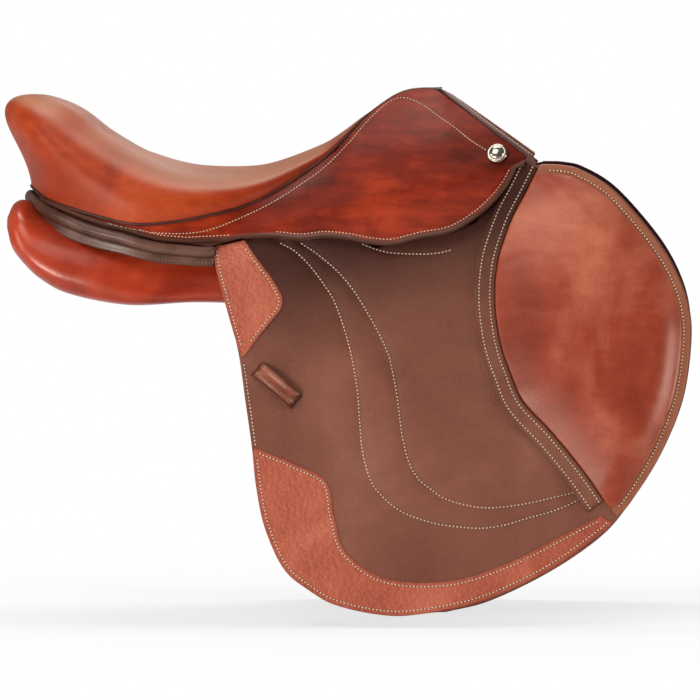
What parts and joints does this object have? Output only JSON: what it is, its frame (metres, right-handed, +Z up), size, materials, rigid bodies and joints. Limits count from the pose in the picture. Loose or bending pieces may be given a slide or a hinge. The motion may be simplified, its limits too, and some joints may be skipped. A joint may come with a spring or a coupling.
{
  "type": "jumping saddle",
  "caption": "Close-contact jumping saddle on a spring tree, with padded knee rolls, liftable flaps and skirts, hinged stirrup-bar catches and hanging girth billets.",
  "frame": {"origin": "centre plane, middle of the length, height of the lowest panel face", "axes": "+X forward to the pommel, +Y to the horse's left, +Z up"},
  "size_m": [0.6409, 0.3992, 0.4856],
  "materials": {
    "chestnut_leather": "glossy chestnut calf leather",
    "panel_leather": "glossy chestnut leather on stuffed panels",
    "knee_leather": "semi-gloss red-brown leather over a padded knee roll",
    "brown_leather": "matte fine-grained brown leather",
    "grained_leather": "pebbled red-orange leather",
    "dark_leather": "dark brown bridle leather",
    "tan_leather": "tan leather",
    "keeper_leather": "red-brown bridle leather",
    "laminated_wood": "laminated beech",
    "tree_steel": "spring steel",
    "bar_steel": "forged steel",
    "chrome": "polished chrome",
    "cotton_web": "woven cotton web",
    "seat_foam": "latex foam"
  },
  "bodies": {
    "saddle": {"tree": "laminated_wood", "tree_head": "laminated_wood", "tree_side_l": "laminated_wood", "tree_side_r": "laminated_wood", "head_plate": "tree_steel", "cantle_plate": "tree_steel", "tree_springs": "tree_steel", "tree_rivets": "tree_steel", "strainer_web": "cotton_web", "girth_webs": "cotton_web", "seat_foam": "seat_foam", "seat_cover": "chestnut_leather", "seat_welt": "dark_leather", "cantle_band": "dark_leather", "skirt_l": "chestnut_leather", "skirt_r": "chestnut_leather", "pommel_facing": "tan_leather", "pommel_welt": "dark_leather", "pommel_studs": "chrome", "panel_l": "panel_leather", "panel_r": "panel_leather", "panel_studs": "tree_steel", "gullet_lining": "panel_leather", "sweat_flap_l": "brown_leather", "sweat_flap_r": "brown_leather", "stirrup_bar_l": "bar_steel", "stirrup_bar_r": "bar_steel", "catch_pins": "bar_steel"},
    "flap_l": {"flap_l": "brown_leather", "knee_pad_l": "knee_leather", "seam_strip_l": "brown_leather", "rear_patch_l": "grained_leather", "lower_patch_l": "grained_leather", "strap_keeper_l": "keeper_leather"},
    "skirt_lobe_l": {"skirt_lobe_l": "chestnut_leather"},
    "bar_catch_l": {"bar_catch_l": "bar_steel"},
    "billet_front_l": {"billet_front_l": "brown_leather"},
    "billet_middle_l": {"billet_middle_l": "brown_leather"},
    "billet_rear_l": {"billet_rear_l": "brown_leather"},
    "flap_r": {"flap_r": "brown_leather", "knee_pad_r": "knee_leather", "seam_strip_r": "brown_leather", "rear_patch_r": "grained_leather", "lower_patch_r": "grained_leather", "strap_keeper_r": "keeper_leather"},
    "skirt_lobe_r": {"skirt_lobe_r": "chestnut_leather"},
    "bar_catch_r": {"bar_catch_r": "bar_steel"},
    "billet_front_r": {"billet_front_r": "brown_leather"},
    "billet_middle_r": {"billet_middle_r": "brown_leather"},
    "billet_rear_r": {"billet_rear_r": "brown_leather"}
  },
  "joints": [
    {"name": "flap_lift_left", "type": "hinge", "parent": "saddle", "child": "flap_l", "pos_m": [-0.129, 0.1197, 0.0566], "axis": [0.9661, -0.0797, 0.2454], "range_deg": [0, 95]},
    {"name": "skirt_lift_left", "type": "hinge", "parent": "flap_l", "child": "skirt_lobe_l", "pos_m": [-0.129, 0.1197, 0.0566], "axis": [0.9661, -0.0797, 0.2454], "range_deg": [0, 50]},
    {"name": "bar_catch_left", "type": "hinge", "parent": "saddle", "child": "bar_catch_l", "pos_m": [0.04552, 0.10229, 0.08442], "axis": [-0.0061, 0.9438, 0.3306], "range_deg": [0, 80]},
    {"name": "billet_front_left", "type": "hinge", "parent": "saddle", "child": "billet_front_l", "pos_m": [0.01, 0.09787, 0.0779], "axis": [0, 1, 0], "range_deg": [-4, 4]},
    {"name": "billet_middle_left", "type": "hinge", "parent": "saddle", "child": "billet_middle_l", "pos_m": [-0.023, 0.10059, 0.06952], "axis": [0, 1, 0], "range_deg": [-4, 4]},
    {"name": "billet_rear_left", "type": "hinge", "parent": "saddle", "child": "billet_rear_l", "pos_m": [-0.056, 0.10332, 0.06114], "axis": [0, 1, 0], "range_deg": [-4, 4]},
    {"name": "flap_lift_right", "type": "hinge", "parent": "saddle", "child": "flap_r", "pos_m": [-0.129, -0.1197, 0.0566], "axis": [-0.9661, -0.0797, -0.2454], "range_deg": [0, 95]},
    {"name": "skirt_lift_right", "type": "hinge", "parent": "flap_r", "child": "skirt_lobe_r", "pos_m": [-0.129, -0.1197, 0.0566], "axis": [-0.9661, -0.0797, -0.2454], "range_deg": [0, 50]},
    {"name": "bar_catch_right", "type": "hinge", "parent": "saddle", "child": "bar_catch_r", "pos_m": [0.04552, -0.10229, 0.08442], "axis": [0.0061, 0.9438, -0.3306], "range_deg": [0, 80]},
    {"name": "billet_front_right", "type": "hinge", "parent": "saddle", "child": "billet_front_r", "pos_m": [0.01, -0.09787, 0.0779], "axis": [0, 1, 0], "range_deg": [-4, 4]},
    {"name": "billet_middle_right", "type": "hinge", "parent": "saddle", "child": "billet_middle_r", "pos_m": [-0.023, -0.10059, 0.06952], "axis": [0, 1, 0], "range_deg": [-4, 4]},
    {"name": "billet_rear_right", "type": "hinge", "parent": "saddle", "child": "billet_rear_r", "pos_m": [-0.056, -0.10332, 0.06114], "axis": [0, 1, 0], "range_deg": [-4, 4]}
  ],
  "couplings": [
    {"joint": "billet_middle_left", "follows": "billet_front_left", "ratio": 1},
    {"joint": "billet_rear_left", "follows": "billet_front_left", "ratio": 1},
    {"joint": "billet_middle_right", "follows": "billet_front_right", "ratio": 1},
    {"joint": "billet_rear_right", "follows": "billet_front_right", "ratio": 1}
  ]
}
